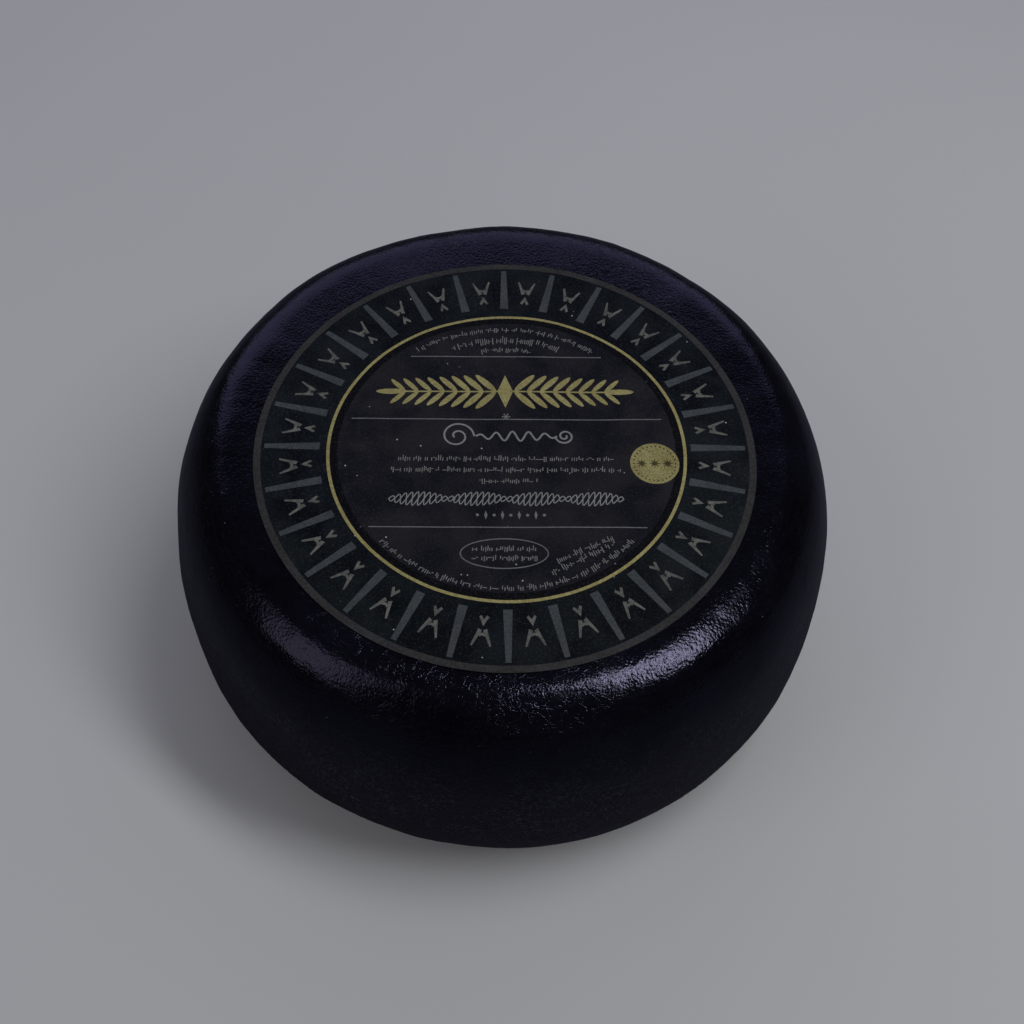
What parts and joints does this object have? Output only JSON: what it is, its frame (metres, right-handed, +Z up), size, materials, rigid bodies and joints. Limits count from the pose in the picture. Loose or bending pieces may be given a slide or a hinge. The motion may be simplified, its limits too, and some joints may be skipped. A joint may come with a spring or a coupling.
{
  "type": "waxed cheese wheel",
  "caption": "Low round wheel of matured cheese in a dark satin wax coat, with a flat top, soft rounded shoulder, low belly and a round printed paper label.",
  "frame": {"origin": "middle of the flat base that the wheel rests on", "axes": "+Z up along the wheel's axis, -Y towards the front, the side that the foot of the label's print faces"},
  "size_m": [0.26, 0.26, 0.1167],
  "materials": {
    "black_wax": "satin indigo-black cheese wax, brushed on, finely crinkled",
    "printed_label": "dark printed paper with a thin satin varnish and gold foil print"
  },
  "bodies": {
    "root": {"waxed_cheese_wheel": "black_wax", "paper_label": "printed_label"}
  },
  "joints": []
}
